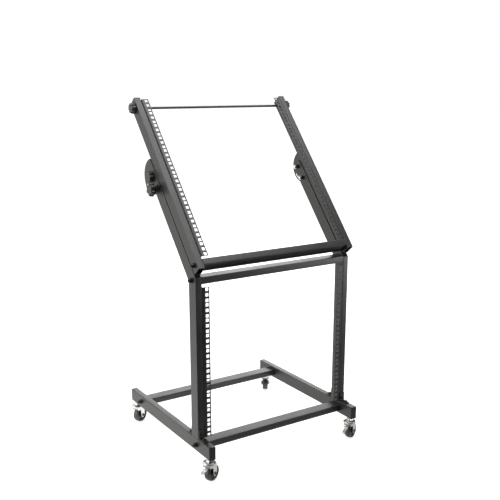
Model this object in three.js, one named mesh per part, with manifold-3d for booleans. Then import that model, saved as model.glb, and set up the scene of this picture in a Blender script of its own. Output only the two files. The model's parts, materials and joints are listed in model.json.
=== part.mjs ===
// Studio rack stand: a rolling frame of black steel tube with a fixed lower rack bay and, above it,
// an upper rack bay that tilts back on two quadrant plates and is held by clamp knobs.
// Millimetres, +Z up, +X to the right, +Y to the back. The origin is on the floor, at the middle of
// the part's bounding box; until the last step it is midway between the ends of the feet.
import * as THREE from 'three';
import { mergeVertices } from 'three/addons/utils/BufferGeometryUtils.js';
import Module from 'manifold-3d';

const wasm = await Module();
wasm.setup();

// Nineteen-inch rack sizes. One unit has three holes, at 1/7, 1/2 and 6/7 of its height. With the
// frame's width and the rails' face below, 450 is clear between the rails and the two columns of
// holes are 465.1 apart.
const rack_unit_height = 44.45;
const hole_place_shares = [1 / 7, 1 / 2, 6 / 7];
const hole_side = 9.5;
const hole_from_edge = 7.55;

// Rails: folded steel angle. The flange carries the holes, the leg lies against the tube.
const rail_face_width = 22;
const rail_steel = 2;
const rail_leg = 20;
const rail_proud = 2;
const rail_corner = 4;

// Tubes.
const frame_width = 534;
const tube_width = 20;
const frame_tube_depth = 40;
const tilt_tube_depth = 35;
const tilt_bar_depth = 40;
const tube_wall = 1.5;
const tube_corner = 2;
const bar_end_plate = 3;

// Clearances: between pieces that touch, round a shaft in its hole, and the overrun of every cut.
const seat_gap = 0.3;
const shaft_gap = 0.3;
const overrun = 5;

// Base.
const foot_length = 520;
const front_overhang = 62.5;
const cap_thickness = 2.5;
const plug_length = 12;
const plug_wall = 2;
const caster_inset = 20;
const front_bar_setback = 13;
const rear_bar_from_end = 72;

// Posts: each rises from its foot and is mitred at the top into a strut that leans back.
const post_height = 466;
const lean_angle = THREE.MathUtils.degToRad(40.5);
const strut_length = 342;
const lower_rail_gap = 3;

// Tilting frame, measured along its arms from the pivot.
const arm_gap = 3;
const arm_above_pivot = 238.5;
const arm_below_pivot = 337.5;
const tilt_bar_from_end = 19.5;
const upper_rail_gap = 5.4;
const tie_rod_from_end = 25;
const tie_rod_diameter = 7;

// Quadrant plates, with the slot that the clamp stud runs in.
const plate_radius = 52;
const plate_steel = 2;
const plate_flange_width = 12;
const slot_radius = 42.5;
const tilt_range = Math.PI / 2;

// Knobs and their studs.
const stud_diameter = 10;
const nut_diameter = 18;
const nut_length = 12;
const small_knob_diameter = 32;
const small_knob_height = 13.5;
const large_knob_diameter = 42;
const large_knob_height = 25;
const knob_face_recess = 1.2;
const knob_recess_share = 0.6;
const grip_shares = [[0.92, 0], [1, 0.16], [0.88, 1]];
const small_flutes = 8;
const small_flute_share = 0.07;
const large_flutes = 6;
const large_flute_share = 0.12;
const knob_neck_share = 0.4;
const neck_shares = [[0.5, 0], [0.44, 0.4]];
const tie_rod_in_knob_share = 0.6;
const nut_chamfer_share = 0.12;

// Bolts that hold the cross bars between the side tubes.
const bolt_diameter = 8;
const bolt_head_diameter = 16;
const bolt_head_height = 9.5;
const bolt_reach = 14;
const washer_thickness = 1.5;
const socket_across = 6;
const socket_depth = 3;
const bolt_crown_shares = [[0.84, 0], [0.78, 0.82], [0.62, 1]];

// Angle brackets at the foot of each post.
const bracket_steel = 3;
const bracket_width = 17;
const bracket_leg = 28;

// Casters. Lengths along the caster are counted from its swivel axis, heights from the floor.
const caster_height = 74;
const wheel_diameter = 50;
const wheel_width = 18;
const tread_crown = 2;
const hub_diameter = 17;
const hub_width = 23;
const web_width = 11;
const rim_depth = 9;
const axle_diameter = 7;
const axle_head_diameter = 12;
const axle_head_height = 2.5;
const wheel_trail = 11;
const fork_steel = 2;
const fork_plate_diameter = 36;
const fork_plate_height = 54;
const fork_eye_diameter = 15;
const cup_diameter = 40;
const cup_height = 9;
const stem_diameter = 10;
const stem_reach = 24;
const stem_nut_diameter = 19;
const kingpin_head_diameter = 15;
const kingpin_head_height = 2.2;
const cup_side_share = 0.5;
const cup_shoulder_share = 0.7;
const tread_flat_share = 0.5;
const fork_front_reach = 12;
const fork_leg_front = 1;
const fork_apron_height = 7;
const pedal_width = 9;
const pedal_steel = 2.4;
const pedal_pin_diameter = 4;
const pedal_pin_setback = 7.5;
const pedal_pin_drop = 6.5;
const pedal_reach = 34.5;
const pedal_drop = 20.5;
const lower_lobe_shares = [[0, 0], [0.3, 0.22], [0.6, 0.3], [0.78, 0.5], [0.9, 0.74], [1, 1]];
const upper_lobe_shares = [[0.28, 0.24], [0.4, 0.15], [0.56, -0.06], [0.74, -0.34]];

// How each caster stands: the heading of its trailing wheel, in degrees from +X towards +Y.
const side_caster_heading = THREE.MathUtils.degToRad(23);
const rear_right_caster_heading = THREE.MathUtils.degToRad(57);

// Places that follow from the sizes above.
const side_tube_x = (frame_width - tube_width) / 2;
const inner_face_x = frame_width / 2 - tube_width;
const outer_face_x = frame_width / 2;
const bar_length = 2 * (inner_face_x - seat_gap);
const rack_opening = 2 * (inner_face_x - rail_face_width);
const hole_column_span = rack_opening + 2 * hole_from_edge;
const foot_front_y = -foot_length / 2;
const foot_rear_y = foot_length / 2;
const post_front_y = foot_front_y + front_overhang;
const post_y = post_front_y + frame_tube_depth / 2;
const foot_bottom_z = caster_height;
const foot_top_z = foot_bottom_z + frame_tube_depth;
const foot_z = foot_bottom_z + frame_tube_depth / 2;
const mitre_z = foot_top_z + post_height;
const pivot_y = post_y + strut_length * Math.sin(lean_angle);
const pivot_z = mitre_z + strut_length * Math.cos(lean_angle);
const lower_rail_bottom_z = foot_top_z + lower_rail_gap;
const lower_units = Math.floor((mitre_z - tube_width / 2 - lower_rail_bottom_z) / rack_unit_height);
const arm_y = -(frame_tube_depth / 2 + arm_gap + tilt_tube_depth / 2);
const arm_front_y = arm_y - tilt_tube_depth / 2;
const upper_rail_face_y = arm_front_y - rail_proud;
const tilt_bar_y = arm_front_y + tilt_bar_depth / 2;
const tilt_bar_z = -arm_below_pivot + tilt_bar_from_end;
const upper_rail_bottom_z = tilt_bar_z + tube_width / 2 + upper_rail_gap;
const upper_units = Math.floor((arm_above_pivot - upper_rail_bottom_z) / rack_unit_height);
const tie_rod_z = arm_above_pivot - tie_rod_from_end;
const plate_inner_x = outer_face_x + seat_gap;
const plate_outer_x = plate_inner_x + plate_steel;

function finish(color, roughness, metalness) {
  return () => new THREE.MeshStandardMaterial({ color, roughness, metalness });
}
const powderCoat = finish(0x232324, 0.5, 0.25);
const blackPlastic = finish(0x121213, 0.45, 0);
const blackBolt = finish(0x161617, 0.35, 0.6);
const zincPlate = finish(0xc4c7ca, 0.28, 1);
const wheelPlastic = finish(0x161617, 0.35, 0);

// A closed three.js geometry as a solid that can be joined and cut.
function solidOf(geometry) {
  const bare = geometry.clone();
  for (const name of Object.keys(bare.attributes)) {
    if (name !== 'position') bare.deleteAttribute(name);
  }
  const merged = mergeVertices(bare);
  const corners = merged.index.array;
  const triangles = [];
  for (let i = 0; i < corners.length; i += 3) {
    const [a, b, c] = [corners[i], corners[i + 1], corners[i + 2]];
    if (a !== b && b !== c && c !== a) triangles.push(a, b, c);
  }
  const vertProperties = new Float32Array(merged.attributes.position.array);
  return new wasm.Manifold(new wasm.Mesh({ numProp: 3, vertProperties, triVerts: new Uint32Array(triangles) }));
}

function geometryOf(solid) {
  const mesh = solid.getMesh();
  const geometry = new THREE.BufferGeometry();
  geometry.setAttribute('position', new THREE.BufferAttribute(new Float32Array(mesh.vertProperties), 3));
  geometry.setIndex(new THREE.BufferAttribute(new Uint32Array(mesh.triVerts), 1));
  geometry.computeVertexNormals();
  return geometry;
}

function joined(parts) {
  return parts.reduce((whole, part) => whole.add(part));
}

function cutBy(whole, cuts) {
  return cuts.reduce((left, cut) => left.subtract(cut), whole);
}

// A cylinder along X, Y or Z, centred on its middle.
function rod(axis, diameter, length, sides = 10) {
  const geometry = new THREE.CylinderGeometry(diameter / 2, diameter / 2, length, sides);
  if (axis === 'x') geometry.rotateZ(-Math.PI / 2);
  if (axis === 'z') geometry.rotateX(Math.PI / 2);
  return geometry;
}

// A turned shape about the X axis; the profile's first number is the radius, its second the place on X.
function turnedOnX(profile, sides) {
  const points = profile.map(([radius, along]) => new THREE.Vector2(radius, along));
  return new THREE.LatheGeometry(points, sides).rotateZ(-Math.PI / 2);
}

// The same about the Z axis.
function turnedOnZ(profile, sides) {
  const points = profile.map(([radius, along]) => new THREE.Vector2(radius, along));
  return new THREE.LatheGeometry(points, sides).rotateX(Math.PI / 2);
}

// Corner points of a rectangle with rounded corners, counter-clockwise.
function roundedRectangle(width, depth, corner, steps = 2) {
  const points = [];
  const quarters = [[1, 1], [-1, 1], [-1, -1], [1, -1]];
  quarters.forEach(([right, back], quarter) => {
    for (let step = 0; step <= steps; step += 1) {
      const angle = (quarter + step / steps) * Math.PI / 2;
      points.push(new THREE.Vector2(
        right * (width / 2 - corner) + corner * Math.cos(angle),
        back * (depth / 2 - corner) + corner * Math.sin(angle),
      ));
    }
  });
  return points;
}

// A hollow or solid bar whose outline passes through a row of sections; each section is a function
// that puts a point of the outline in space.
function lofted(outline, sections, hollow) {
  const places = [];
  const faces = [];
  const count = outline.length;
  const loops = hollow ? [outline, hollow] : [outline];
  loops.forEach((loop) => sections.forEach((section) => loop.forEach((point) => {
    places.push(...section(point).toArray());
  })));
  const vertex = (loop, section, i) => (loop * sections.length + section) * count + i % count;
  for (let section = 0; section < sections.length - 1; section += 1) {
    for (let i = 0; i < count; i += 1) {
      const [a, b] = [vertex(0, section, i), vertex(0, section, i + 1)];
      const [c, d] = [vertex(0, section + 1, i), vertex(0, section + 1, i + 1)];
      faces.push(a, b, d, a, d, c);
      if (hollow) {
        const [e, f] = [vertex(1, section, i), vertex(1, section, i + 1)];
        const [g, h] = [vertex(1, section + 1, i), vertex(1, section + 1, i + 1)];
        faces.push(e, h, f, e, g, h);
      }
    }
  }
  const last = sections.length - 1;
  if (hollow) {
    for (let i = 0; i < count; i += 1) {
      faces.push(vertex(0, 0, i), vertex(1, 0, i + 1), vertex(0, 0, i + 1));
      faces.push(vertex(0, 0, i), vertex(1, 0, i), vertex(1, 0, i + 1));
      faces.push(vertex(0, last, i), vertex(0, last, i + 1), vertex(1, last, i + 1));
      faces.push(vertex(0, last, i), vertex(1, last, i + 1), vertex(1, last, i));
    }
  } else {
    for (const [a, b, c] of THREE.ShapeUtils.triangulateShape(outline, [])) {
      faces.push(vertex(0, 0, a), vertex(0, 0, c), vertex(0, 0, b));
      faces.push(vertex(0, last, a), vertex(0, last, b), vertex(0, last, c));
    }
  }
  const geometry = new THREE.BufferGeometry();
  geometry.setAttribute('position', new THREE.BufferAttribute(new Float32Array(places), 3));
  geometry.setIndex(faces);
  return geometry;
}

function levelSection(z) {
  return (point) => new THREE.Vector3(point.x, point.y, z);
}

// A straight length of rectangular tube standing on Z, open at both ends.
function straightTube(depth, length) {
  const outline = roundedRectangle(tube_width, depth, tube_corner);
  const bore = roundedRectangle(tube_width - 2 * tube_wall, depth - 2 * tube_wall, tube_corner - tube_wall);
  return lofted(outline, [levelSection(0), levelSection(length)], bore);
}

function mesh(name, geometry, material) {
  const node = new THREE.Mesh(geometry, material());
  node.name = name;
  return node;
}

const part = new THREE.Group();
part.name = 'studio_rack_stand';

function put(group, name, geometry, material, x = 0, y = 0, z = 0) {
  const node = mesh(name, geometry, material);
  node.position.set(x, y, z);
  group.add(node);
  return node;
}

// The two sides carry the same pieces, mirrored: side is -1 on the left and +1 on the right.
const sides = [['left', -1], ['right', 1]];

// Feet: tubes on edge, from front to back, with holes for the bar bolts and the caster stems.
const front_bar_y = post_front_y + front_bar_setback;
const rear_bar_y = foot_rear_y - rear_bar_from_end;
const front_caster_y = foot_front_y + caster_inset;
const rear_caster_y = foot_rear_y - caster_inset;

function footTube() {
  const length = foot_length - 2 * (cap_thickness + seat_gap);
  const tube = straightTube(frame_tube_depth, length).rotateX(-Math.PI / 2).translate(0, -length / 2, 0);
  const through = tube_width + 2 * overrun;
  const boltHoles = [front_bar_y, rear_bar_y].map(
    (y) => solidOf(rod('x', bolt_diameter + 2 * shaft_gap, through).translate(0, y, 0)),
  );
  const stemHoles = [front_caster_y, rear_caster_y].map(
    (y) => solidOf(rod('z', stem_diameter + 2 * shaft_gap, 2 * overrun).translate(0, y, -frame_tube_depth / 2)),
  );
  return geometryOf(cutBy(solidOf(tube), [...boltHoles, ...stemHoles]));
}

// A moulded plug for a tube's end: a rounded cap with a hollow spigot that fits inside the tube.
function endPlug(depth) {
  const cap = roundedRectangle(tube_width, depth, tube_corner);
  const inset = tube_wall + shaft_gap;
  const spigot = roundedRectangle(tube_width - 2 * inset, depth - 2 * inset, tube_corner - tube_wall, 1);
  const wall = inset + plug_wall;
  const hollow = roundedRectangle(tube_width - 2 * wall, depth - 2 * wall, tube_corner - tube_wall, 1);
  const body = solidOf(lofted(cap, [levelSection(0), levelSection(cap_thickness)]))
    .add(solidOf(lofted(spigot, [levelSection(-plug_length), levelSection(cap_thickness / 2)])));
  return geometryOf(cutBy(body, [solidOf(lofted(hollow, [levelSection(-plug_length - overrun), levelSection(0)]))]));
}

for (const [side, sign] of sides) {
  const x = sign * side_tube_x;
  put(part, `foot_${side}`, footTube(), powderCoat, x, 0, foot_z);
  const front = put(part, `foot_cap_front_${side}`, endPlug(frame_tube_depth), blackPlastic,
    x, foot_front_y + cap_thickness, foot_z);
  front.rotation.x = Math.PI / 2;
  const rear = put(part, `foot_cap_rear_${side}`, endPlug(frame_tube_depth), blackPlastic,
    x, foot_rear_y - cap_thickness, foot_z);
  rear.rotation.x = -Math.PI / 2;
}

// Cross bars: tube laid flat between the side tubes, closed by an end plate that takes the bolt,
// whose hole is bolt_y behind the bar's middle.
function crossBar(depth, bolt_y) {
  const outline = roundedRectangle(tube_width, depth, tube_corner);
  const bore = roundedRectangle(tube_width - 2 * tube_wall, depth - 2 * tube_wall, tube_corner - tube_wall);
  const half = bar_length / 2;
  const body = solidOf(lofted(outline, [levelSection(-half), levelSection(half)]));
  const room = solidOf(lofted(bore, [levelSection(-half + bar_end_plate), levelSection(half - bar_end_plate)]));
  const holes = [-half, half].map(
    (z) => solidOf(rod('z', bolt_diameter + 2 * shaft_gap, 2 * overrun).translate(0, bolt_y, z)),
  );
  return geometryOf(cutBy(body, [room, ...holes])).rotateY(Math.PI / 2);
}

put(part, 'base_bar_front', crossBar(frame_tube_depth, 0), powderCoat, 0, front_bar_y, foot_z);
put(part, 'base_bar_rear', crossBar(frame_tube_depth, 0), powderCoat, 0, rear_bar_y, foot_z);
put(part, 'post_bar', crossBar(frame_tube_depth, 0), powderCoat, 0, post_y, mitre_z);

// Posts: the tube's outline runs up from the foot, turns at the mitre and runs up the strut, whose
// end is closed and rounded about the pivot.
function sideLoft(width, depth, corner, bottom, top) {
  const outline = roundedRectangle(width, depth, corner);
  const up = new THREE.Vector3(0, Math.sin(lean_angle), Math.cos(lean_angle));
  const back = new THREE.Vector3(0, Math.cos(lean_angle), -Math.sin(lean_angle));
  const atMitre = (point) => new THREE.Vector3(point.x, point.y, -point.y * Math.tan(lean_angle / 2));
  const atTop = (point) => new THREE.Vector3(point.x, 0, 0)
    .addScaledVector(back, point.y).addScaledVector(up, top);
  return solidOf(lofted(outline, [levelSection(bottom), atMitre, atTop]));
}

function sideStrutEnd(width, diameter) {
  const y = strut_length * Math.sin(lean_angle);
  const z = strut_length * Math.cos(lean_angle);
  return solidOf(rod('x', diameter, width, 20).rotateX(-lean_angle).translate(0, y, z));
}

function postTube() {
  const room_width = tube_width - 2 * tube_wall;
  const room_depth = frame_tube_depth - 2 * tube_wall;
  const bottom = -post_height + seat_gap;
  const body = sideLoft(tube_width, frame_tube_depth, tube_corner, bottom, strut_length)
    .add(sideStrutEnd(tube_width, frame_tube_depth));
  const room = sideLoft(room_width, room_depth, tube_corner - tube_wall, bottom - overrun, strut_length)
    .add(sideStrutEnd(room_width, room_depth));
  const through = tube_width + 2 * overrun;
  const barHole = solidOf(rod('x', bolt_diameter + 2 * shaft_gap, through));
  const studHoles = [strut_length, strut_length - slot_radius].map((along) => solidOf(
    rod('x', stud_diameter + 2 * shaft_gap, through)
      .translate(0, along * Math.sin(lean_angle), along * Math.cos(lean_angle)),
  ));
  return geometryOf(cutBy(body, [room, barHole, ...studHoles]));
}

for (const [side, sign] of sides) {
  put(part, `post_${side}`, postTube(), powderCoat, sign * side_tube_x, post_y, mitre_z);
}

// Rack rails: a folded angle with three square holes in each unit. The angle is drawn for the right
// side in plan, as seen from above, and the left one is its mirror image.
function railHoles(units, sign) {
  const hole = new THREE.BoxGeometry(hole_side, 2 * overrun, hole_side);
  const x = sign * hole_column_span / 2;
  const cuts = [];
  for (let unit = 0; unit < units; unit += 1) {
    for (const share of hole_place_shares) {
      cuts.push(solidOf(hole.clone().translate(x, 0, (unit + share) * rack_unit_height)));
    }
  }
  return joined(cuts);
}

function rail(units, sign, extraCuts) {
  const length = units * rack_unit_height;
  const edge = rack_opening / 2;
  const back = inner_face_x - seat_gap;
  const bend = rail_steel;
  const outline = [
    new THREE.Vector2(edge, 0), new THREE.Vector2(back - bend, 0),
    new THREE.Vector2(back - bend + bend * Math.SQRT1_2, bend - bend * Math.SQRT1_2),
    new THREE.Vector2(back, bend), new THREE.Vector2(back, rail_leg),
    new THREE.Vector2(back - rail_steel, rail_leg), new THREE.Vector2(back - rail_steel, rail_steel),
    new THREE.Vector2(edge, rail_steel),
  ];
  const drawn = sign > 0 ? outline : outline.map((p) => new THREE.Vector2(-p.x, p.y)).reverse();
  const angle = solidOf(lofted(drawn, [levelSection(0), levelSection(length)]));
  const cornerCuts = [[0, 1], [length, -1]].map(([z, inward]) => {
    const block = new THREE.BoxGeometry(2 * rail_corner, 2 * overrun, 2 * rail_corner)
      .translate(sign * edge, 0, z);
    const round = rod('y', 2 * rail_corner, 4 * overrun, 24)
      .translate(sign * (edge + rail_corner), 0, z + inward * rail_corner);
    const keep = new THREE.BoxGeometry(4 * rail_corner, 4 * overrun, 4 * rail_corner)
      .translate(sign * (edge + 3 * rail_corner), 0, z + inward * rail_corner);
    const keepLevel = new THREE.BoxGeometry(4 * rail_corner, 4 * overrun, 4 * rail_corner)
      .translate(sign * (edge + rail_corner), 0, z + inward * 3 * rail_corner);
    return cutBy(solidOf(block), [solidOf(round), solidOf(keep), solidOf(keepLevel)]);
  });
  return geometryOf(cutBy(angle, [railHoles(units, sign), ...cornerCuts, ...extraCuts]));
}

for (const [side, sign] of sides) {
  put(part, `lower_rail_${side}`, rail(lower_units, sign, []), powderCoat,
    0, post_front_y - rail_proud, lower_rail_bottom_z);
}

// Angle brackets that tie each post to its foot, in front and behind.
function footBracket() {
  const outline = [
    [0, 0], [bracket_leg, 0], [bracket_leg, bracket_steel], [bracket_steel, bracket_steel],
    [bracket_steel, bracket_leg], [0, bracket_leg],
  ].map(([x, y]) => new THREE.Vector2(x, y));
  const half = bracket_width / 2;
  return lofted(outline, [levelSection(-half), levelSection(half)]).rotateX(Math.PI / 2).rotateZ(-Math.PI / 2);
}

for (const [side, sign] of sides) {
  const x = sign * side_tube_x;
  const z = foot_top_z + seat_gap;
  put(part, `bracket_front_${side}`, footBracket(), powderCoat, x, post_front_y - seat_gap, z);
  const rear = put(part, `bracket_rear_${side}`, footBracket(), powderCoat,
    x, post_front_y + frame_tube_depth + seat_gap, z);
  rear.rotation.z = Math.PI;
}

// Bolts: a domed head with a hexagon socket and a washer face, and a shank through the side tube into
// the bar's end plate. The head is at the origin's +X side.
function barBolt() {
  const r = bolt_head_diameter / 2;
  const shank = tube_width + seat_gap + bar_end_plate + bolt_reach;
  const face = washer_thickness + bolt_head_height;
  const crown = bolt_crown_shares.map(
    ([across, up]) => [r * across, washer_thickness + bolt_head_height * up],
  );
  const head = turnedOnX([[0, seat_gap], [r, seat_gap], [r, washer_thickness], ...crown, [0, face]], 14);
  const rod_length = shank + washer_thickness;
  const stem = rod('x', bolt_diameter, rod_length, 8).translate(washer_thickness - rod_length / 2, 0, 0);
  const socket = rod('x', socket_across, 2 * socket_depth, 6).translate(face, 0, 0);
  return geometryOf(solidOf(head).add(solidOf(stem)).subtract(solidOf(socket)));
}

for (const [side, sign] of sides) {
  const spots = [
    [`base_bolt_front_${side}`, front_bar_y, foot_z],
    [`base_bolt_rear_${side}`, rear_bar_y, foot_z],
    [`post_bolt_${side}`, post_y, mitre_z],
  ];
  for (const [name, y, z] of spots) {
    const bolt = put(part, name, barBolt(), blackBolt, sign * outer_face_x, y, z);
    if (sign < 0) bolt.rotation.z = Math.PI;
  }
}

// The tilting frame is built upright in a group of its own, with its origin on the pivot axis, and
// the group leans back with the struts. The group's +Z runs up along the arms.
const tilting = new THREE.Group();
tilting.position.set(0, pivot_y, pivot_z);
tilting.rotation.x = -lean_angle;
part.add(tilting);

function armTube() {
  const length = arm_above_pivot + arm_below_pivot - cap_thickness - seat_gap;
  const tube = straightTube(tilt_tube_depth, length).translate(0, 0, -arm_below_pivot);
  const through = tube_width + 2 * overrun;
  const boltHole = solidOf(rod('x', bolt_diameter + 2 * shaft_gap, through).translate(0, 0, tilt_bar_z));
  const rodHole = solidOf(rod('x', tie_rod_diameter + 2 * shaft_gap, through).translate(0, 0, tie_rod_z));
  return geometryOf(cutBy(solidOf(tube), [boltHole, rodHole]));
}

for (const [side, sign] of sides) {
  const x = sign * side_tube_x;
  put(tilting, `tilt_arm_${side}`, armTube(), powderCoat, x, arm_y, 0);
  put(tilting, `arm_cap_${side}`, endPlug(tilt_tube_depth), blackPlastic,
    x, arm_y, arm_above_pivot - cap_thickness);
  const rodHole = rod('x', tie_rod_diameter + 2 * shaft_gap, 4 * overrun)
    .translate(sign * inner_face_x, arm_y - upper_rail_face_y, tie_rod_z - upper_rail_bottom_z);
  put(tilting, `upper_rail_${side}`, rail(upper_units, sign, [solidOf(rodHole)]), powderCoat,
    0, upper_rail_face_y, upper_rail_bottom_z);
  const bolt = put(tilting, `tilt_bolt_${side}`, barBolt(), blackBolt, sign * outer_face_x, arm_y, tilt_bar_z);
  if (sign < 0) bolt.rotation.z = Math.PI;
}
put(tilting, 'tilt_bar', crossBar(tilt_bar_depth, arm_y - tilt_bar_y), powderCoat,
  0, tilt_bar_y, tilt_bar_z);

// Tie rod: it runs through both arms and ends inside the knobs.
const tie_rod_end_x = outer_face_x + small_knob_height * tie_rod_in_knob_share;
put(tilting, 'tie_rod', rod('x', tie_rod_diameter, 2 * tie_rod_end_x, 12), powderCoat, 0, arm_y, tie_rod_z);

// Quadrant plates: a disc cut off along the back of the arm, with a flange folded in behind the arm,
// a hole for the pivot stud and an arc slot for the clamp stud.
function arcSlot() {
  const half = stud_diameter / 2 + shaft_gap;
  const steps = 10;
  const outline = [];
  const ringPoint = (radius, turn) => new THREE.Vector2(radius * Math.sin(turn), -radius * Math.cos(turn));
  for (let i = 0; i <= steps; i += 1) outline.push(ringPoint(slot_radius + half, tilt_range * i / steps));
  for (let i = 1; i < 6; i += 1) {
    const end = ringPoint(slot_radius, tilt_range);
    const turn = tilt_range + Math.PI * i / 6;
    outline.push(end.add(ringPoint(half, turn)));
  }
  for (let i = steps; i >= 0; i -= 1) outline.push(ringPoint(slot_radius - half, tilt_range * i / steps));
  for (let i = 1; i < 6; i += 1) {
    const start = ringPoint(slot_radius, 0);
    outline.push(start.add(ringPoint(half, Math.PI + Math.PI * i / 6)));
  }
  return outline;
}

// An outline in the arm's side plane, as a slab between two places on X.
function sideSlab(outline, low, high) {
  const place = (x) => (point) => new THREE.Vector3(x, point.x, point.y);
  return solidOf(lofted(outline, [place(low), place(high)]));
}

function quadrantPlate(sign) {
  const front = -(frame_tube_depth / 2 + arm_gap - seat_gap);
  const start = Math.acos(front / plate_radius);
  const steps = 28;
  const outline = [];
  for (let i = 0; i <= steps; i += 1) {
    const turn = -start + 2 * start * i / steps;
    outline.push(new THREE.Vector2(plate_radius * Math.cos(turn), plate_radius * Math.sin(turn)));
  }
  const [low, high] = sign > 0 ? [plate_inner_x, plate_outer_x] : [-plate_outer_x, -plate_inner_x];
  const disc = sideSlab(outline, low, high);
  const chord = plate_radius * Math.sin(start);
  const flangeDepth = arm_gap - 2 * seat_gap;
  const flangeX = sign * (plate_outer_x - plate_flange_width / 2);
  const flange = new THREE.BoxGeometry(plate_flange_width, flangeDepth, 2 * chord)
    .translate(flangeX, front + flangeDepth / 2, 0);
  const slot = sideSlab(arcSlot(), low - overrun, high + overrun);
  const pivotHole = rod('x', stud_diameter + 2 * shaft_gap, 4 * overrun).translate(sign * plate_inner_x, 0, 0);
  return geometryOf(disc.add(solidOf(flange)).subtract(slot).subtract(solidOf(pivotHole)));
}

for (const [side, sign] of sides) {
  put(tilting, `quadrant_plate_${side}`, quadrantPlate(sign), powderCoat);
}

// Knobs: a fluted grip about X, whose face has a shallow recess. The stud or bore is on its -X side.
function flutedGrip(diameter, height, flutes, flute_share) {
  const steps = flutes * 4;
  const outline = [];
  for (let i = 0; i < steps; i += 1) {
    const turn = 2 * Math.PI * i / steps;
    const radius = diameter / 2 * (1 - flute_share * (1 - Math.cos(flutes * turn)));
    outline.push(new THREE.Vector2(radius * Math.cos(turn), radius * Math.sin(turn)));
  }
  const sections = grip_shares.map(([across, up]) => (
    (point) => new THREE.Vector3(height * up, point.x * across, point.y * across)
  ));
  const recess = rod('x', diameter * knob_recess_share, 2 * knob_face_recess, 16).translate(height, 0, 0);
  return solidOf(lofted(outline, sections)).subtract(solidOf(recess));
}

function knobStud(reach) {
  return solidOf(rod('x', stud_diameter, reach + overrun, 12).translate((overrun - reach) / 2, 0, 0));
}

function smallGrip() {
  return flutedGrip(small_knob_diameter, small_knob_height, small_flutes, small_flute_share);
}

function boredKnob(bore_diameter, bore_depth) {
  return geometryOf(smallGrip().subtract(solidOf(rod('x', bore_diameter, 2 * bore_depth, 12))));
}

function smallStudKnob(reach) {
  return geometryOf(smallGrip().add(knobStud(reach)));
}

function largeStudKnob(reach) {
  const neck = large_knob_height * knob_neck_share;
  const r = large_knob_diameter / 2;
  const waist = neck_shares.map(([across, up]) => [r * across, neck * up]);
  const [foot_radius] = waist[0];
  const profile = [[0, 0], ...waist, [foot_radius, neck + overrun], [0, neck + overrun]];
  const grip = flutedGrip(large_knob_diameter, large_knob_height - neck, large_flutes, large_flute_share);
  return geometryOf(joined([grip.translate([neck, 0, 0]), solidOf(turnedOnX(profile, 18)), knobStud(reach)]));
}

const stud_reach = plate_steel + 2 * seat_gap + tube_width + nut_length;
const tie_knob_bore = tie_rod_end_x - outer_face_x;

for (const [side, sign] of sides) {
  const turn = sign < 0 ? Math.PI : 0;
  const knob = put(tilting, `tie_knob_${side}`,
    boredKnob(tie_rod_diameter + 2 * shaft_gap, tie_knob_bore), blackPlastic,
    sign * (outer_face_x + seat_gap), arm_y, tie_rod_z);
  knob.rotation.z = turn;
}

// Studs, knobs and nuts of the pivot and the clamp: they belong to the struts. The group leans with
// the struts, and its +Z runs up along them.
const strutHead = new THREE.Group();
strutHead.position.set(0, pivot_y, pivot_z);
strutHead.rotation.x = -lean_angle;
part.add(strutHead);

// A sleeve nut on the inside of the strut; the stud's end shows in its middle.
function sleeveNut() {
  const bore = stud_diameter / 2 + shaft_gap;
  const r = nut_diameter / 2;
  const chamfer = nut_length * nut_chamfer_share;
  return turnedOnX([
    [bore, 0], [r, 0], [r, nut_length - chamfer], [r - chamfer, nut_length], [bore, nut_length], [bore, 0],
  ], 14);
}

for (const [side, sign] of sides) {
  const turn = sign < 0 ? Math.PI : 0;
  const knobX = sign * (plate_outer_x + seat_gap);
  const nutX = sign * (inner_face_x - seat_gap);
  const pieces = [
    [`pivot_knob_${side}`, smallStudKnob(stud_reach), 0],
    [`clamp_knob_${side}`, largeStudKnob(stud_reach), -slot_radius],
  ];
  for (const [name, geometry, z] of pieces) {
    const knob = put(strutHead, name, geometry, blackPlastic, knobX, 0, z);
    knob.rotation.z = turn;
  }
  for (const [name, z] of [[`pivot_nut_${side}`, 0], [`clamp_nut_${side}`, -slot_radius]]) {
    const nut = put(strutHead, name, sleeveNut(), blackPlastic, nutX, 0, z);
    nut.rotation.z = Math.PI - turn;
  }
}

// Casters. Each is built with its swivel axis on Z and its wheel trailing towards +X. The stem is the
// kingpin that the fork turns on, the cup over the fork's bearing, a hexagon and the threaded end.
const cup_bottom_z = fork_plate_height + fork_steel + seat_gap;
const cup_top_z = cup_bottom_z + cup_height;
const foot_face_z = foot_bottom_z - seat_gap;
const axle_z = wheel_diameter / 2;

function casterStem() {
  const shank = stem_diameter / 2;
  const head_top = fork_plate_height - seat_gap;
  const head_bottom = head_top - kingpin_head_height;
  const head = kingpin_head_diameter / 2;
  const cup = cup_diameter / 2;
  const shoulder = cup * cup_shoulder_share;
  const top = foot_bottom_z + stem_reach;
  const turned = turnedOnZ([
    [0, head_bottom], [head, head_bottom], [head, head_top], [shank, head_top], [shank, cup_bottom_z],
    [cup, cup_bottom_z], [cup, cup_bottom_z + cup_height * cup_side_share], [shoulder, cup_top_z],
    [shank, cup_top_z], [shank, top], [0, top],
  ], 18);
  const hexagon_height = foot_face_z - cup_top_z + cup_height * cup_side_share;
  const hexagon = rod('z', stem_nut_diameter, hexagon_height, 6).translate(0, 0, foot_face_z - hexagon_height / 2);
  return geometryOf(solidOf(turned).add(solidOf(hexagon)));
}

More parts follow.
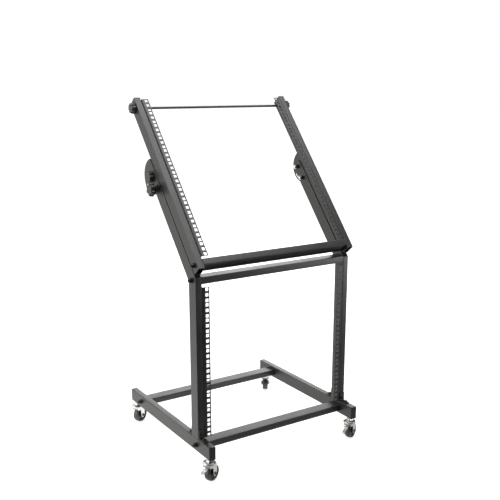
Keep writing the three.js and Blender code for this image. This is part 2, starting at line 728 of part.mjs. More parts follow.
// The wheel: a crowned tread, side walls dished in to a thinner web, and a hub with a bore.
function casterWheel() {
  const bore = axle_diameter / 2 + shaft_gap;
  const hub = hub_diameter / 2;
  const rim = wheel_diameter / 2;
  const half = wheel_width / 2;
  const side = [
    [bore, hub_width / 2], [hub, hub_width / 2], [hub, web_width / 2], [rim - rim_depth, web_width / 2],
    [rim - tread_crown, half], [rim, half * tread_flat_share],
  ];
  const profile = [...side.map(([radius, along]) => [radius, -along]), ...side.reverse()];
  const points = [...profile, profile[0]].map(([radius, along]) => new THREE.Vector2(radius, along));
  return new THREE.LatheGeometry(points, 22);
}

// The fork: a pressed plate under the cup, two tapering legs down to the axle with an apron folded
// down between them in front, and the axle itself.
function forkLegOutline() {
  const eye = fork_eye_diameter / 2;
  const under = fork_plate_height + fork_steel;
  const outline = [
    new THREE.Vector2(-fork_front_reach, under),
    new THREE.Vector2(-fork_front_reach, under - fork_apron_height),
    new THREE.Vector2(-fork_leg_front, under - fork_apron_height),
  ];
  const steps = 6;
  for (let i = 0; i <= steps; i += 1) {
    const turn = Math.PI * (1 + i / steps);
    outline.push(new THREE.Vector2(wheel_trail + eye * Math.cos(turn), axle_z + eye * Math.sin(turn)));
  }
  outline.push(new THREE.Vector2(wheel_trail + eye, fork_plate_height - fork_steel));
  outline.push(new THREE.Vector2(fork_plate_diameter / 2 - fork_steel, under));
  return outline;
}

// An outline in the caster's side plane, as a slab between two places on Y.
function crossSlab(outline, low, high) {
  const place = (y) => (point) => new THREE.Vector3(point.x, y, point.y);
  return solidOf(lofted(outline, [place(high), place(low)]));
}

function casterFork() {
  const leg_inner = hub_width / 2 + seat_gap;
  const leg_outer = leg_inner + fork_steel;
  const top = fork_plate_height;
  const under = top + fork_steel;
  const bore = stem_diameter / 2 + shaft_gap;
  const outline = forkLegOutline();
  const legs = [crossSlab(outline, leg_inner, leg_outer), crossSlab(outline, -leg_outer, -leg_inner)];
  const apron = new THREE.BoxGeometry(fork_steel, 2 * leg_outer, fork_apron_height)
    .translate(fork_steel / 2 - fork_front_reach, 0, under - fork_apron_height / 2);
  const plate = turnedOnZ([
    [bore, top], [fork_plate_diameter / 2, top], [fork_plate_diameter / 2, under], [bore, under], [bore, top],
  ], 18);
  const axle = rod('y', axle_diameter, 2 * leg_outer).translate(wheel_trail, 0, axle_z);
  const head_length = axle_head_height + fork_steel;
  const heads = [-1, 1].map((end) => solidOf(rod('y', axle_head_diameter, head_length, 6)
    .translate(wheel_trail, end * (leg_inner + head_length / 2), axle_z)));
  return geometryOf(joined([solidOf(plate), solidOf(apron), ...legs, solidOf(axle), ...heads]));
}

// The brake pedal: a rocker of pressed strip on a pin between the fork's legs. It runs out clear of the
// tread and parts into a lower lobe, trodden to brake, and an upper one, trodden to let go.
function ribbonOutline(path, thickness) {
  const points = path.map(([x, z]) => new THREE.Vector2(x, z));
  const offset = (i, side) => {
    const before = points[Math.max(i - 1, 0)];
    const after = points[Math.min(i + 1, points.length - 1)];
    const along = after.clone().sub(before).normalize();
    return points[i].clone().add(new THREE.Vector2(-along.y, along.x).multiplyScalar(side * thickness / 2));
  };
  const right = points.map((point, i) => offset(i, -1));
  const left = points.map((point, i) => offset(i, 1)).reverse();
  return [...right, ...left];
}

const pedal_pin_x = -pedal_pin_setback;
const pedal_pin_z = fork_plate_height - pedal_pin_drop;

function brakePedal() {
  const half = pedal_width / 2;
  const lobes = [lower_lobe_shares, upper_lobe_shares].map((lobe_shares) => {
    const path = lobe_shares.map(([out, down]) => [
      pedal_pin_x - pedal_reach * out, pedal_pin_z - pedal_drop * down,
    ]);
    return crossSlab(ribbonOutline(path, pedal_steel), -half, half);
  });
  const pin = rod('y', pedal_pin_diameter, hub_width).translate(pedal_pin_x, 0, pedal_pin_z);
  return geometryOf(joined([...lobes, solidOf(pin)]));
}

const casters = [
  ['front_left', -1, front_caster_y, side_caster_heading, true],
  ['front_right', 1, front_caster_y, side_caster_heading, true],
  ['rear_left', -1, rear_caster_y, side_caster_heading, false],
  ['rear_right', 1, rear_caster_y, rear_right_caster_heading, false],
];

for (const [name, sign, y, heading, braked] of casters) {
  const caster = new THREE.Group();
  caster.position.set(sign * side_tube_x, y, 0);
  caster.rotation.z = heading;
  part.add(caster);
  put(caster, `caster_stem_${name}`, casterStem(), zincPlate);
  put(caster, `caster_fork_${name}`, casterFork(), zincPlate);
  put(caster, `caster_wheel_${name}`, casterWheel(), wheelPlastic, wheel_trail, 0, wheel_diameter / 2);
  if (braked) put(caster, `brake_pedal_${name}`, brakePedal(), zincPlate);
}

// The origin moves to the middle of the whole part's box, front to back.
const whole = new THREE.Box3().setFromObject(part, true);
part.children.forEach((child) => {
  child.position.y -= (whole.min.y + whole.max.y) / 2;
});

export default part;
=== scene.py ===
import json
import math

import bmesh
import bpy
from mathutils import Matrix, Vector

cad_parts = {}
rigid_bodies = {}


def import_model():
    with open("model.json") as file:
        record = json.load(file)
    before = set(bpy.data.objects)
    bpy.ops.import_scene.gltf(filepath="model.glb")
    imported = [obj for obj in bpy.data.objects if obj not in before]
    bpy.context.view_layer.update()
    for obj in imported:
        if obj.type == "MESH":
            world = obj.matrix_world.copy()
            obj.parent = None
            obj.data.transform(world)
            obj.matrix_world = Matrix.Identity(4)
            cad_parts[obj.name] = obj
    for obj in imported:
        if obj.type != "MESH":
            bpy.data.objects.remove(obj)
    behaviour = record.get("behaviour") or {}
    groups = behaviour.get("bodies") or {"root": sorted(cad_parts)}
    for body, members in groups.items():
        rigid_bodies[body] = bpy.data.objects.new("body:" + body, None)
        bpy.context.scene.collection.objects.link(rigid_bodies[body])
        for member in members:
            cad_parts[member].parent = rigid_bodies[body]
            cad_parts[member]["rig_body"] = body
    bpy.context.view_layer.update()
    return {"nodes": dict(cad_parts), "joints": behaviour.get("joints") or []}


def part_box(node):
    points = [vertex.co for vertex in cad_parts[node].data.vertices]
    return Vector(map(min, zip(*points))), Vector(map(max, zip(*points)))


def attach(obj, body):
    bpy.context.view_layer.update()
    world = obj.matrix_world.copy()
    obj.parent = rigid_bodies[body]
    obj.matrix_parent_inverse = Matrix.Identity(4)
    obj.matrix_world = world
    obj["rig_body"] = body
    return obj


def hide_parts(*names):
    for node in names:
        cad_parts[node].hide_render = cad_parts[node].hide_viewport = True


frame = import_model()
joints = {joint["name"]: joint for joint in frame["joints"]}
link = bpy.context.scene.collection.objects.link

# The camera stands to the left of the rack stand and in front of it, just above its top. Its place and
# lens were fitted to the square holes of the four rails, and the picture is shifted up a little so that
# it holds the casters too.
picture_side = 500
lens_in_pixels = 771.22
shift_in_pixels = (-1.79, 37.04)
sensor_width = 36.0
camera_place = (-1.23640, -1.98129, 1.09709)
camera_looks_down = 14.74
camera_looks_right = 32.92
camera_data = bpy.data.cameras.new("studio_camera")
camera_data.sensor_width = sensor_width
camera_data.lens = sensor_width * lens_in_pixels / picture_side
camera_data.shift_x = shift_in_pixels[0] / picture_side
camera_data.shift_y = shift_in_pixels[1] / picture_side
camera = bpy.data.objects.new("studio_camera", camera_data)
camera.location = camera_place
camera.rotation_euler = (math.radians(90 - camera_looks_down), 0, math.radians(-camera_looks_right))
link(camera)
bpy.context.scene.camera = camera
bpy.context.scene.view_settings.view_transform = "Standard"


# The studio: a white paper floor that runs on as the backdrop, in a pale room. The gloss of the coat
# and the zinc shows the same floor, which is darker in front of the stand, where the room's lights end.
class Wire:
    """A node's socket that takes part in sums. a | b is the larger of the two."""

    def __init__(self, tree, socket):
        self.tree = tree
        self.socket = socket

    def worked(self, operation, first, second):
        node = self.tree.nodes.new("ShaderNodeMath")
        node.operation = operation
        feed(self.tree, node.inputs[0], first)
        feed(self.tree, node.inputs[1], second)
        return Wire(self.tree, node.outputs[0])

    def __add__(self, other):
        return self.worked("ADD", self, other)

    def __radd__(self, other):
        return self.worked("ADD", other, self)

    def __mul__(self, other):
        return self.worked("MULTIPLY", self, other)

    def __rmul__(self, other):
        return self.worked("MULTIPLY", other, self)

    def __pow__(self, other):
        return self.worked("POWER", self, other)

    def __or__(self, other):
        return self.worked("MAXIMUM", self, other)


def feed(tree, place, value):
    if isinstance(value, Wire):
        tree.links.new(value.socket, place)
    else:
        place.default_value = value


class Bench:
    """A node tree that is put together one node at a time. A socket is named, or numbered as i0, i1."""

    def __init__(self, tree):
        self.tree = tree
        tree.nodes.clear()

    def add(self, kind, settings=None, out=0, **sockets):
        node = self.tree.nodes.new(kind)
        for key, value in (settings or {}).items():
            setattr(node, key, value)
        for key, value in sockets.items():
            numbered = key[0] == "i" and key[1:].isdigit()
            place = node.inputs[int(key[1:]) if numbered else key.replace("_", " ")]
            feed(self.tree, place, value)
        return Wire(self.tree, node.outputs[out]) if node.outputs else node

    def ray(self, kind):
        return self.add("ShaderNodeLightPath", out=f"Is {kind} Ray")


def finish_bench(name):
    """A new material and the bench that its nodes are put together on."""
    material = bpy.data.materials.new(name)
    material.use_nodes = True
    return material, Bench(material.node_tree)


paper_grey = (0.8, 0.8, 0.8, 1)
paper_white = (1, 1, 1, 1)
paper_gloss_tint = (1.0, 0.985, 0.955, 1)
paper, sheet = finish_bench("white_paper")
floor_place = sheet.add("ShaderNodeTexCoord", out="Object")
from_stand = sheet.add("ShaderNodeVectorMath", {"operation": "LENGTH"}, "Value", i0=floor_place)
to_back = sheet.add("ShaderNodeSeparateXYZ", out="Y", Vector=floor_place)
bright_corner = (-0.5, 0.35, 0)
from_corner = sheet.add(
    "ShaderNodeVectorMath", {"operation": "DISTANCE"}, "Value", i0=floor_place, i1=bright_corner
)
bright_paper = sheet.add(
    "ShaderNodeMapRange", Value=from_stand, From_Min=0.6, From_Max=1.6, To_Min=0.72, To_Max=1.0
)
# Painted reflection: for gloss rays the paper glows by itself. It is dim in front of the stand and up to a
# quarter brighter near the left back corner, standing in for the room's light.
shown_in_gloss = sheet.add(
    "ShaderNodeMapRange", {"interpolation_type": "SMOOTHSTEP"}, Value=to_back, From_Min=-0.6, From_Max=0.0,
    To_Min=0.02, To_Max=1.0
)
near_corner = sheet.add(
    "ShaderNodeMapRange", Value=from_corner, From_Min=0.2, From_Max=1.2, To_Min=1.25, To_Max=0.85
)
lit_paper = sheet.add("ShaderNodeBsdfDiffuse", Color=paper_grey)
paper_glow = sheet.add("ShaderNodeEmission", Color=paper_white, Strength=bright_paper)
paper_seen = sheet.add("ShaderNodeAddShader", i0=lit_paper, i1=paper_glow)
paper_in_gloss = sheet.add(
    "ShaderNodeEmission", Color=paper_gloss_tint, Strength=shown_in_gloss * near_corner
)
paper_for_camera = sheet.add("ShaderNodeMixShader", i0=sheet.ray("Camera"), i1=lit_paper, i2=paper_seen)
paper_for_all = sheet.add(
    "ShaderNodeMixShader", i0=sheet.ray("Glossy") | sheet.ray("Transmission"), i1=paper_for_camera,
    i2=paper_in_gloss
)
sheet.add("ShaderNodeOutputMaterial", Surface=paper_for_all)

floor_half = 30.0
floor_below_wheels = 0.0005
floor_mesh = bpy.data.meshes.new("studio_floor")
floor_mesh.from_pydata(
    [(x * floor_half, y * floor_half, -floor_below_wheels) for x, y in ((-1, -1), (1, -1), (1, 1), (-1, 1))],
    [], [(0, 1, 2, 3)]
)
floor_mesh.materials.append(paper)
floor = bpy.data.objects.new("studio_floor", floor_mesh)
link(floor)

room_white = (1, 1, 1, 1)
bright_side = (-0.45, 0.85, -0.3)
room_world = bpy.data.worlds.new("studio_room")
room_world.use_nodes = True
bpy.context.scene.world = room_world
room = Bench(room_world.node_tree)
room_way = room.add("ShaderNodeTexCoord", out="Generated")
to_bright_side = room.add(
    "ShaderNodeVectorMath", {"operation": "DOT_PRODUCT"}, "Value", i0=room_way, i1=bright_side
)
room_fall = room.add(
    "ShaderNodeMapRange", {"interpolation_type": "SMOOTHSTEP"}, Value=to_bright_side, From_Min=-0.1,
    From_Max=0.6, To_Min=0.05, To_Max=0.95
)
room_lit = room.add("ShaderNodeBackground", Color=room_white, Strength=room_fall)
room_seen = room.add("ShaderNodeBackground", Color=room_white, Strength=1.0)
room_for_all = room.add(
    "ShaderNodeMixShader", i0=room.ray("Camera") | room.ray("Transmission"), i1=room_lit, i2=room_seen
)
room.add("ShaderNodeOutputWorld", Surface=room_for_all)


# Four soft boxes: one to the left, one overhead, one behind to the right that skims the tops of the
# tubes, and a small low one in front to the right.
def soft_box(name, place, aim, width, height, power, colour=(1, 1, 1)):
    """A rectangular lamp at a place, turned to face an aim, that the camera doesn't see."""
    data = bpy.data.lights.new(name, "AREA")
    data.shape = "RECTANGLE"
    data.size = width
    data.size_y = height
    data.energy = power
    data.color = colour
    lamp = bpy.data.objects.new(name, data)
    lamp.location = place
    lamp.rotation_euler = (Vector(aim) - Vector(place)).to_track_quat("-Z", "Y").to_euler()
    lamp.visible_camera = False
    link(lamp)


soft_box("left_box", (-2.8, 0.25, 1.2), (0, 0, 0.6), 2.4, 2.2, 34, (1.0, 0.965, 0.91))
soft_box("overhead_box", (0.5, -0.3, 3.0), (0.3, -0.1, 0.5), 2.4, 2.4, 58)
soft_box("back_box", (1.95, 2.7, 1.15), (0, 0, 0.35), 2.2, 1.2, 25)
soft_box("front_right_box", (1.95, -1.85, 0.55), (0, 0, 0.5), 0.8, 0.9, 20)


# Feet: two lengths of rectangular steel tube, welded up and coated in black powder, each end shut by a
# ribbed moulded plug. The coat is satin with the fine peel of baked powder and dulls where it is handled.
def powder_finish(name, dark, light, rough, shine):
    """A powder coat: two shades of black, specks of dust and a skin of fine peel over slow waves."""
    material, coat = finish_bench(name)
    place = coat.add("ShaderNodeTexCoord", out="Object")
    peel = coat.add("ShaderNodeTexNoise", Vector=place, Scale=850.0, Detail=2.0, Roughness=0.55)
    waves = coat.add("ShaderNodeTexNoise", Vector=place, Scale=60.0, Detail=2.0, Roughness=0.5)
    handled = coat.add("ShaderNodeTexNoise", Vector=place, Scale=7.0, Detail=4.0, Roughness=0.62)
    specks = coat.add("ShaderNodeTexVoronoi", Vector=place, Scale=420.0)
    dull = coat.add("ShaderNodeMapRange", Value=handled, From_Min=0.38, From_Max=0.66)
    dust = coat.add("ShaderNodeMapRange", Value=specks, From_Min=0.0, From_Max=0.16, To_Min=1.0, To_Max=0.0)
    shade = coat.add(
        "ShaderNodeMix", {"data_type": "RGBA"}, 2, i0=dull * 0.75 + dust * 0.12, i6=(*dark, 1), i7=(*light, 1)
    )
    skin = coat.add("ShaderNodeBump", Strength=0.14, Distance=0.0002, Height=peel * 0.7 + waves * 0.5)
    surface = coat.add(
        "ShaderNodeBsdfPrincipled", Base_Color=shade, Roughness=rough + dull * 0.07 + peel * 0.03,
        Specular_IOR_Level=shine, Normal=skin
    )
    coat.add("ShaderNodeOutputMaterial", Surface=surface)
    return material


def moulded_finish(name, colour, rough, grain, shine=0.5):
    """A moulded or blackened skin, with pores as fine as its grain and a slow change of shade."""
    material, mould = finish_bench(name)
    place = mould.add("ShaderNodeTexCoord", out="Object")
    pores = mould.add("ShaderNodeTexNoise", Vector=place, Scale=grain, Detail=2.0, Roughness=0.6)
    flow = mould.add("ShaderNodeTexNoise", Vector=place, Scale=35.0, Detail=3.0, Distortion=0.6)
    worn = tuple(1.5 * part + 0.004 for part in colour)
    shade = mould.add(
        "ShaderNodeMix", {"data_type": "RGBA"}, 2, i0=flow ** 2.0, i6=(*colour, 1), i7=(*worn, 1)
    )
    skin = mould.add("ShaderNodeBump", Strength=0.16, Distance=0.0001, Height=pores)
    surface = mould.add(
        "ShaderNodeBsdfPrincipled", Base_Color=shade, Roughness=rough + flow * 0.08 + pores * 0.04,
        Specular_IOR_Level=shine, Normal=skin
    )
    mould.add("ShaderNodeOutputMaterial", Surface=surface)
    return material


powder_black = powder_finish("powder_coat_black", (0.015, 0.015, 0.016), (0.023, 0.023, 0.023), 0.36, 0.8)
plug_black = moulded_finish("plug_black", (0.015, 0.015, 0.016), 0.34, 2200.0)
sides = {"left": -1, "right": 1}
weld_within = 0.000002
flat_within = math.radians(0.5)
plug_round_off = 0.0012


def smoothed(mesh, sharp):
    """Smooth faces, with a hard edge where two of them meet at more than an angle in degrees."""
    mesh.shade_smooth()
    mesh.set_sharp_from_angle(angle=math.radians(sharp))


def evened(piece):
    """The large faces stay flat in the shading, next to the small ones that round off their edges."""
    even = piece.modifiers.new("even_faces", "WEIGHTED_NORMAL")
    even.keep_sharp = True


def standing_for(piece, node):
    """The piece takes the place of a CAD node and rides on its body."""
    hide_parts(node)
    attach(piece, frame["nodes"][node]["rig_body"])


def dressed(node, material, round_off=0.0005, sharp=32):
    """The CAD node's own shape, welded, with its edges rounded off a little."""
    mesh = frame["nodes"][node].data.copy()
    mesh.name = node + "_skin"
    work = bmesh.new()
    work.from_mesh(mesh)
    bmesh.ops.remove_doubles(work, verts=work.verts, dist=weld_within)
    bmesh.ops.dissolve_limit(
        work, angle_limit=flat_within, verts=work.verts, edges=work.edges, use_dissolve_boundaries=False
    )
    work.to_mesh(mesh)
    work.free()
    mesh.materials.clear()
    mesh.materials.append(material)
    smoothed(mesh, sharp)
    piece = bpy.data.objects.new(node + "_skin", mesh)
    link(piece)
    if round_off:
        edge = piece.modifiers.new("rounded_edges", "BEVEL")
        edge.width = round_off
        edge.segments = 2
        edge.limit_method = "ANGLE"
        edge.angle_limit = math.radians(sharp)
        edge.use_clamp_overlap = True
        edge.harden_normals = True
    evened(piece)
    standing_for(piece, node)


for side in sides:
    dressed(f"foot_{side}", powder_black)
    for end in ("front", "rear"):
        dressed(f"foot_cap_{end}_{side}", plug_black, plug_round_off)


# Base bars: two flat-lying tubes between the feet, and the same bar between the mitres of the posts. Each
# is held by a dome-head socket bolt and a washer through the side tube, blackened by the maker.
least_arc = 0.00002
seam_within = 0.000001


def rounded(profile, radius, cuts=3):
    """The corners of a profile of (height, radius, share) points, turned into short arcs."""
    out = [profile[0]]
    for before, corner, after in zip(profile, profile[1:], profile[2:]):
        corner = Vector(corner)
        to_before, to_after = Vector(before) - corner, Vector(after) - corner
        arm = min(radius, 0.4 * to_before.xy.length, 0.4 * to_after.xy.length)
        if arm < least_arc:
            out.append(tuple(corner))
            continue
        first = corner + to_before * (arm / to_before.xy.length)
        last = corner + to_after * (arm / to_after.xy.length)
        for step in range(cuts + 1):
            t = step / cuts
            out.append(tuple(first * (1 - t) ** 2 + corner * 2 * t * (1 - t) + last * t ** 2))
    out.append(profile[-1])
    return out


def meshed(work, name):
    """A mesh of the shape that was worked out."""
    mesh = bpy.data.meshes.new(name)
    work.to_mesh(mesh)
    work.free()
    return mesh


def spun(name, profile, shape=None, steps=48):
    """A closed solid turned round Z. shape(angle) cuts the radius down where a point's share is 1."""
    work = bmesh.new()
    rings = []
    for height, radius, share in profile:
        if radius == 0:
            rings.append([work.verts.new((0, 0, height))])
            continue
        ring = []
        for step in range(steps):
            turn = 2 * math.pi * step / steps
            reach = radius * (1 - share * shape(turn)) if shape else radius
            ring.append(work.verts.new((reach * math.cos(turn), reach * math.sin(turn), height)))
        rings.append(ring)
    for low, high in zip(rings, rings[1:]):
        for step in range(steps):
            following = (step + 1) % steps
            if len(low) == 1:
                work.faces.new((low[0], high[following], high[step]))
            elif len(high) == 1:
                work.faces.new((low[step], low[following], high[0]))
            else:
                work.faces.new((low[step], low[following], high[following], high[step]))
    bmesh.ops.remove_doubles(work, verts=work.verts, dist=seam_within)
    bmesh.ops.recalc_face_normals(work, faces=work.faces)
    return meshed(work, name)


def aimed(place, way, spin=0.0):
    """Where a solid turned round Z goes: its foot at a place, its Z along a direction."""
    turn = Vector(way).to_track_quat("Z", "Y").to_matrix().to_4x4()
    return Matrix.Translation(Vector(place)) @ turn @ Matrix.Rotation(spin, 4, "Z")


def gathered(name, parts, materials, sharp=32):
    """One object at the origin from (mesh, place, material number) parts."""
    work = bmesh.new()
    for mesh, place, number in parts:
        start = len(work.faces)
        loose = mesh.copy()
        loose.transform(place)
        work.from_mesh(loose)
        bpy.data.meshes.remove(loose)
        work.faces.ensure_lookup_table()
        for face in work.faces[start:]:
            face.material_index = number
    mesh = meshed(work, name)
    for material in materials:
        mesh.materials.append(material)
    smoothed(mesh, sharp)
    piece = bpy.data.objects.new(name, mesh)
    link(piece)
    evened(piece)
    return piece


def end_of(node, sign):
    """The middle of the left end (-1) or right end (1) of a CAD node's box."""
    low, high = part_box(node)
    return Vector((high[0] if sign > 0 else low[0], (low[1] + high[1]) / 2, (low[2] + high[2]) / 2))


def hexagon(turn):
    """How far a hexagon's flat lies inside the circle through its corners."""
    return 1 - math.cos(math.pi / 6) / math.cos(turn % (math.pi / 3) - math.pi / 6)


washer_radius = 0.008
washer_steel = 0.0015
head_radius = 0.0067
head_rise = 0.0095
shank_radius = 0.004
shank_length = 0.0374
socket_radius = 0.0034
socket_depth = 0.0034
bolt_spin = 0.35
bolt_black = moulded_finish("blackened_bolt", (0.012, 0.012, 0.013), 0.26, 1400.0, 0.6)
bolt_top = washer_steel + head_rise
dome_profile = rounded([
    (-shank_length, 0, 0), (-shank_length, shank_radius, 0), (0, shank_radius, 0), (0, washer_radius, 0),
    (washer_steel, washer_radius, 0), (washer_steel, head_radius, 0),
    (bolt_top - 0.0045, head_radius - 0.0001, 0), (bolt_top - 0.0012, head_radius - 0.0010, 0),
    (bolt_top, socket_radius + 0.0010, 0), (bolt_top, socket_radius + 0.0004, 0),
    (bolt_top - 0.0006, socket_radius, 1), (bolt_top - socket_depth, socket_radius, 1),
    (bolt_top - socket_depth - 0.0002, 0, 1),
], 0.0009)
bolt_mesh = spun("bar_bolt", dome_profile, hexagon)

for bar in ("base_bar_front", "base_bar_rear", "post_bar"):
    dressed(bar, powder_black)


def bar_bolt(node, sign):
    """The bolt of one bar's end, with the top of its head where the CAD bolt's is."""
    place = end_of(node, sign) - Vector((sign * bolt_top, 0, 0))
    bolt = gathered(
        node + "_bolt", [(bolt_mesh, aimed(place, (sign, 0, 0), bolt_spin), 0)], [bolt_black], sharp=28
    )
    standing_for(bolt, node)


for side, sign in sides.items():
    for place in ("base_bolt_front", "base_bolt_rear", "post_bolt"):
        bar_bolt(f"{place}_{side}", sign)


# Posts: each is a tube cut and welded at a mitre, upright below and leaning back above. It stands on its
# foot between two folded angle brackets, each held by two small hexagon bolts with washers.
bracket_steel = 0.003
bracket_round_off = 0.0006
upright_bolt_rise = 0.0128
foot_bolt_out = 0.0195
small_bolt_black = moulded_finish("small_bolt_black", (0.012, 0.012, 0.012), 0.3, 1800.0, 0.6)
small_bolt_profile = rounded([
    (0, 0, 0), (0, 0.0062, 0), (0.0009, 0.0062, 0), (0.0009, 0.0056, 1), (0.0042, 0.0056, 1),
    (0.0052, 0.0047, 0.35), (0.0052, 0, 0),
], 0.00025, 2)
small_bolt = bpy.data.objects.new("small_bolt", spun("small_bolt", small_bolt_profile, hexagon, steps=24))
small_bolt.data.materials.append(small_bolt_black)
smoothed(small_bolt.data, 28)


def input_of(tree, name, kind):
    """A new input of a node tree, which a modifier sets by its identifier."""
    return tree.interface.new_socket(name=name, in_out="INPUT", socket_type=kind)


bolt_tree = bpy.data.node_groups.new("bolts_on_points", "GeometryNodeTree")
input_of(bolt_tree, "Points", "NodeSocketGeometry")
bolt_in = input_of(bolt_tree, "Bolt", "NodeSocketObject")
size_in = input_of(bolt_tree, "Bolt Size", "NodeSocketFloat")
seed_in = input_of(bolt_tree, "Spin Seed", "NodeSocketInt")
bolt_tree.interface.new_socket(name="Bolts", in_out="OUTPUT", socket_type="NodeSocketGeometry")
bolting = Bench(bolt_tree)
given_points = bolting.add("NodeGroupInput", out="Points")
given_bolt = bolting.add("NodeGroupInput", out="Bolt")
given_size = bolting.add("NodeGroupInput", out="Bolt Size")
given_seed = bolting.add("NodeGroupInput", out="Spin Seed")
sixth_turn = 1.047
facing = bolting.add("GeometryNodeInputNamedAttribute", {"data_type": "FLOAT_VECTOR"}, 0, Name="facing")
spin = bolting.add(
    "FunctionNodeRandomValue", {"data_type": "FLOAT"}, 1, i2=0.0, i3=sixth_turn, Seed=given_seed
)
spun_round = bolting.add("ShaderNodeCombineXYZ", Z=spin)
turned_once = bolting.add("FunctionNodeEulerToRotation", Euler=spun_round)
aimed_out = bolting.add("FunctionNodeAlignRotationToVector", {"axis": "Z"}, Vector=facing)
both_turns = bolting.add(
    "FunctionNodeRotateRotation", {"rotation_space": "LOCAL"}, Rotation=aimed_out, Rotate_By=turned_once
)
one_bolt = bolting.add("GeometryNodeObjectInfo", out="Geometry", Object=given_bolt)
bolt_scale = bolting.add("ShaderNodeCombineXYZ", X=given_size, Y=given_size, Z=given_size)
set_out = bolting.add(
    "GeometryNodeInstanceOnPoints", Points=given_points, Instance=one_bolt, Rotation=both_turns,
    Scale=bolt_scale
)
made_real = bolting.add("GeometryNodeRealizeInstances", Geometry=set_out)
blackened = bolting.add("GeometryNodeSetMaterial", Geometry=made_real, Material=small_bolt_black)
bolting.add("NodeGroupOutput", i0=blackened)


def grown(name, points, tree, values, extras=()):
    """The mesh that a node tree makes on some points, with its modifiers applied."""
    mesh = bpy.data.meshes.new(name)
    mesh.from_pydata([place for place, way in points], [], [])
    ways = mesh.attributes.new("facing", "FLOAT_VECTOR", "POINT")
    for item, (place, way) in zip(ways.data, points):
        item.vector = way
    seedling = bpy.data.objects.new(name, mesh)
    link(seedling)
    maker = seedling.modifiers.new("maker", "NODES")
    maker.node_group = tree
    for socket, value in values:
        maker[socket.identifier] = value
    for kind, settings in extras:
        extra = seedling.modifiers.new(kind.lower(), kind)
        for key, value in settings.items():
            setattr(extra, key, value)
    bpy.context.view_layer.update()
    full_grown = seedling.evaluated_get(bpy.context.evaluated_depsgraph_get())
    ready = bpy.data.meshes.new_from_object(full_grown)
    seedling.modifiers.clear()
    bpy.data.objects.remove(seedling)
    ready.name = name
    return ready


bolt_points = []
for side in sides:
    dressed(f"post_{side}", powder_black)
    for end, sign in (("front", -1), ("rear", 1)):
        node = f"bracket_{end}_{side}"
        dressed(node, powder_black, bracket_round_off)
        low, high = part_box(node)
        middle = (low[0] + high[0]) / 2
        post_face = high[1] if sign < 0 else low[1]
        upright = (middle, post_face + sign * bracket_steel, low[2] + upright_bolt_rise)
        on_foot = (middle, post_face + sign * foot_bolt_out, low[2] + bracket_steel)
        bolt_points += [(upright, (0, sign, 0)), (on_foot, (0, 0, 1))]
link(small_bolt)
bracket_bolt_mesh = grown("bracket_bolts", bolt_points, bolt_tree, (
    (bolt_in, small_bolt), (size_in, 1.0), (seed_in, 7)
))
bpy.data.objects.remove(small_bolt)
bracket_bolts = gathered("bracket_bolts", [(bracket_bolt_mesh, Matrix(), 0)], [small_bolt_black], sharp=28)
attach(bracket_bolts, "frame")


# Arms and tilt bar: the tilting frame's two side tubes, plugged at the top, and the flat bar between
# their lower ends, bolted as the base bars are.
dressed("tilt_bar", powder_black)
for side in sides:
    dressed(f"tilt_arm_{side}", powder_black)
    dressed(f"arm_cap_{side}", plug_black, plug_round_off)
lean = math.radians(40.5)
pivot = Vector(joints["tilt"]["pos_m"])
along_arms = Matrix.Translation(pivot) @ Matrix.Rotation(-lean, 4, "X")

for side, sign in sides.items():
    bar_bolt(f"tilt_bolt_{side}", sign)


# Rack rails: angles folded from 2 mm sheet and welded inside the posts and the arms. Their faces are
# punched with 9.5 mm square holes, three in each 44.45 mm rack unit, ten units below and twelve above.
rail_unit = 0.04445
rail_steel = 0.002
rail_face = 0.0217
rail_leg = 0.020
rail_bend = 0.0036
bend_steps = 4
lower_units = 10
upper_units = 12
units_meet_within = 0.00001
hole = 0.0095
hole_column = 0.00755
hole_rows = (0.00635, 0.022225, 0.0381)


def rail_unit_sheet():
    """One rack unit of the rail's outer skin, with its three holes left open."""
    columns = [(0, 0), (hole_column - hole / 2, 0), (hole_column + hole / 2, 0), (rail_face - rail_bend, 0)]
    for step in range(1, bend_steps + 1):
        turn = math.pi / 2 * step / bend_steps
        columns.append((rail_face - rail_bend * (1 - math.sin(turn)), rail_bend * (1 - math.cos(turn))))
    columns.append((rail_face, rail_leg))
    rows = [0.0]
    for middle in hole_rows:
        rows += [middle - hole / 2, middle + hole / 2]
    rows.append(rail_unit)
    points = [(x, y, z) for z in rows for x, y in columns]
    faces = []
    wide = len(columns)
    for row in range(len(rows) - 1):
        for column in range(wide - 1):
            is_hole = column == 1 and row % 2 == 1
            if not is_hole:
                start = row * wide + column
                faces.append((start, start + 1, start + 1 + wide, start + wide))
    mesh = bpy.data.meshes.new("rail_unit")
    mesh.from_pydata(points, [], faces)
    return bpy.data.objects.new("rail_unit", mesh)


rail_tree = bpy.data.node_groups.new("punched_rail", "GeometryNodeTree")
input_of(rail_tree, "Foot", "NodeSocketGeometry")
unit_in = input_of(rail_tree, "Unit", "NodeSocketObject")
count_in = input_of(rail_tree, "Units", "NodeSocketInt")
pitch_in = input_of(rail_tree, "Pitch", "NodeSocketFloat")
rail_tree.interface.new_socket(name="Rail", in_out="OUTPUT", socket_type="NodeSocketGeometry")
railing = Bench(rail_tree)
given_unit = railing.add("NodeGroupInput", out="Unit")
given_count = railing.add("NodeGroupInput", out="Units")
given_pitch = railing.add("NodeGroupInput", out="Pitch")
up_one = railing.add("ShaderNodeCombineXYZ", Z=given_pitch)
steps_up = railing.add("GeometryNodeMeshLine", {"mode": "OFFSET"}, Count=given_count, Offset=up_one)
one_unit = railing.add("GeometryNodeObjectInfo", out="Geometry", Object=given_unit)
units_up = railing.add("GeometryNodeInstanceOnPoints", Points=steps_up, Instance=one_unit)
made_real = railing.add("GeometryNodeRealizeInstances", Geometry=units_up)
joined_up = railing.add("GeometryNodeMergeByDistance", Geometry=made_real, Distance=units_meet_within)
coated = railing.add("GeometryNodeSetMaterial", Geometry=joined_up, Material=powder_black)
railing.add("NodeGroupOutput", i0=coated)
rail_sheet = rail_unit_sheet()
link(rail_sheet)
